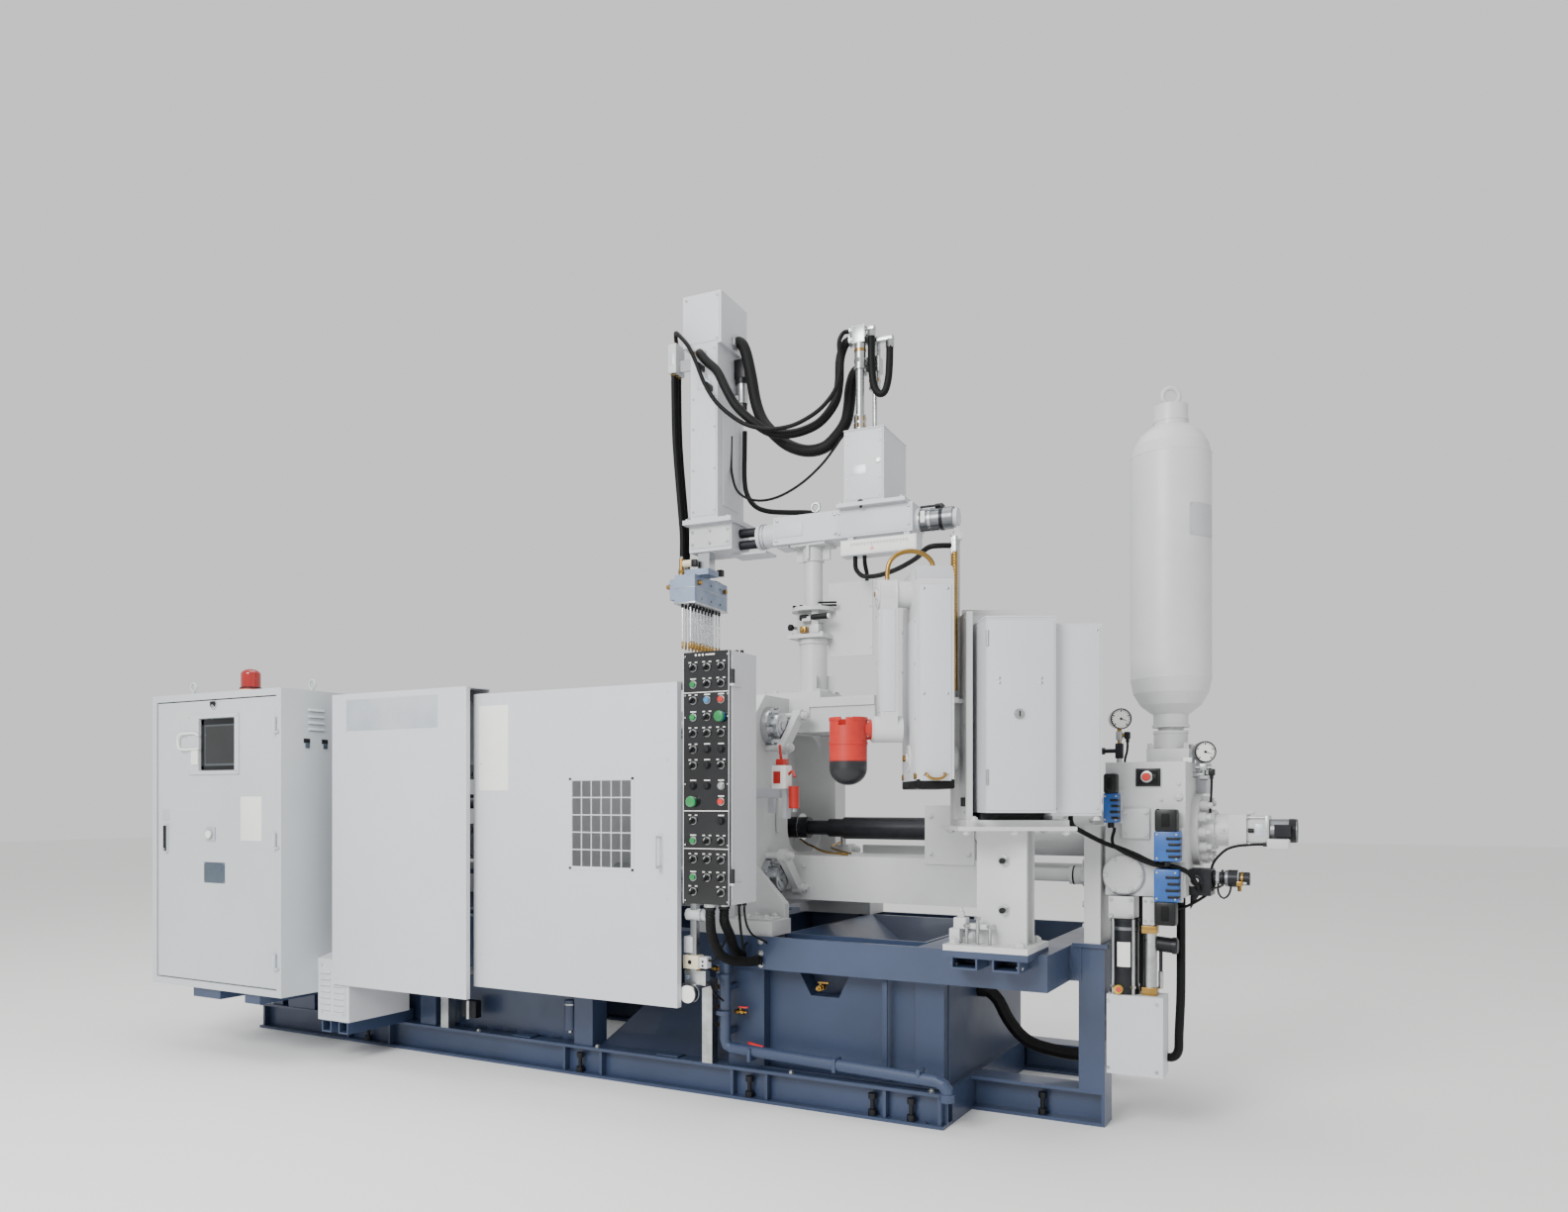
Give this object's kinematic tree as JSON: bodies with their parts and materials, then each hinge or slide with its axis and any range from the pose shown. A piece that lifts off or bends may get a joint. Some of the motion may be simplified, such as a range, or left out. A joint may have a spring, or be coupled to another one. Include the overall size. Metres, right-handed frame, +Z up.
{
  "type": "cold-chamber die casting machine",
  "caption": "Cold-chamber die casting machine with guarded clamp unit, injection unit with gas bottle, spray arm, metal ladler and control cabinet.",
  "frame": {"origin": "floor level, centre of the rectangle of foundation holes, on the machine centreline", "axes": "+X along the machine to the injection end, -Y the operator side, +Z up"},
  "size_m": [4.737, 1.734, 3.352],
  "materials": {
    "blue_paint": "semi-gloss navy paint",
    "light_paint": "semi-gloss warm light grey paint",
    "cream_paint": "satin cream grey paint",
    "black_steel": "black oxide and black paint",
    "bright_steel": "ground steel",
    "red_lens": "red lamp dome",
    "dark_screen": "dark display glass",
    "black_panel": "matt black control panel",
    "valve_blue": "blue painted valve bodies",
    "hose_rubber": "black hose rubber",
    "aluminium": "machined aluminium",
    "ladle_red": "red refractory coat over black iron",
    "brass": "flexible brass conduit"
  },
  "bodies": {
    "machine": {"lower_rails": "blue_paint", "base_posts": "blue_paint", "upper_frame": "blue_paint", "nose_frame": "blue_paint", "cabinet_arms": "blue_paint", "ladler_bracket": "blue_paint", "base_skirts": "blue_paint", "casting_chute": "blue_paint", "oil_tank": "blue_paint", "drip_tray": "blue_paint", "drain_pipe": "blue_paint", "levelling_bolts": "black_steel", "cabinet_shell": "light_paint", "beacon": "red_lens", "transformer_box": "light_paint", "fixed_cover": "light_paint", "guard_frame": "black_steel", "control_pendant": "light_paint", "rear_cover": "light_paint", "fixed_platen": "light_paint", "tie_bars": "bright_steel", "moving_platen": "light_paint", "end_platen": "light_paint", "toggle_links": "bright_steel", "crosshead": "bright_steel", "c_frame": "cream_paint", "shot_cylinder": "cream_paint", "injection_block": "cream_paint", "injection_motor": "black_steel", "relief_valve": "black_steel", "injection_valves": "valve_blue", "accumulator_bottle": "light_paint", "pressure_gauges": "black_steel", "charge_pump": "black_steel", "pump_box": "light_paint", "injection_hoses": "hose_rubber", "spray_column": "light_paint", "spray_beam": "light_paint", "spray_control_box": "light_paint", "spray_pipe_stand": "aluminium", "ladle_stand": "light_paint", "ladle_column": "light_paint", "ladle_control_box": "light_paint", "ladle_conduits": "brass", "spray_hoses": "hose_rubber"},
    "cabinet_leaf": {"cabinet_door": "light_paint", "cabinet_screen": "dark_screen"},
    "guard_door": {"slide_door": "light_paint"},
    "pendant_front": {"pendant_panel": "black_panel"},
    "plunger": {"plunger_rod": "black_steel"},
    "spray_carrier": {"spray_rods": "black_steel", "spray_housing": "light_paint"},
    "spray_lift": {"spray_ram": "aluminium", "spray_head": "aluminium", "spray_nozzles": "bright_steel", "lift_hoses": "hose_rubber"},
    "ladle_link": {"ladle_body_link": "light_paint"},
    "ladle_forearm": {"ladle_arm": "light_paint"},
    "ladle": {"ladle_cup": "ladle_red"}
  },
  "joints": [
    {"name": "cabinet_door_swing", "type": "hinge", "parent": "machine", "child": "cabinet_leaf", "pos_m": [-1.002, -1.121, 0.968], "axis": [0, 0, 1], "range_deg": [0, 110]},
    {"name": "guard_door_slide", "type": "slide", "parent": "machine", "child": "guard_door", "axis": [-1, 0, 0], "range_m": [0, 0.66]},
    {"name": "pendant_panel_swing", "type": "hinge", "parent": "machine", "child": "pendant_front", "pos_m": [1.155, -0.925, 1.23], "axis": [0, 0, 1], "range_deg": [0, 100]},
    {"name": "shot_plunger_slide", "type": "slide", "parent": "machine", "child": "plunger", "axis": [1, 0, 0], "range_m": [0, 0.25]},
    {"name": "spray_feed_slide", "type": "slide", "parent": "machine", "child": "spray_carrier", "axis": [0.9981, 0.061, 0], "range_m": [-0.12, 0.06], "deforming": ["spray_hoses"]},
    {"name": "spray_lift_slide", "type": "slide", "parent": "spray_carrier", "child": "spray_lift", "axis": [0, 0, -1], "range_m": [0, 0.55], "deforming": ["spray_hoses"]},
    {"name": "ladle_link_swing", "type": "hinge", "parent": "machine", "child": "ladle_link", "pos_m": [1.83679, -0.65, 1.293], "axis": [0.866, 0.5, 0], "range_deg": [-30, 30]},
    {"name": "ladle_arm_swing", "type": "hinge", "parent": "ladle_link", "child": "ladle_forearm", "pos_m": [1.66359, -0.75, 1.852], "axis": [0.866, 0.5, 0], "range_deg": [-30, 30]},
    {"name": "ladle_cup_tilt", "type": "hinge", "parent": "ladle_forearm", "child": "ladle", "pos_m": [1.57699, -0.8, 1.392], "axis": [0.866, 0.5, 0], "range_deg": [-20, 80]}
  ]
}
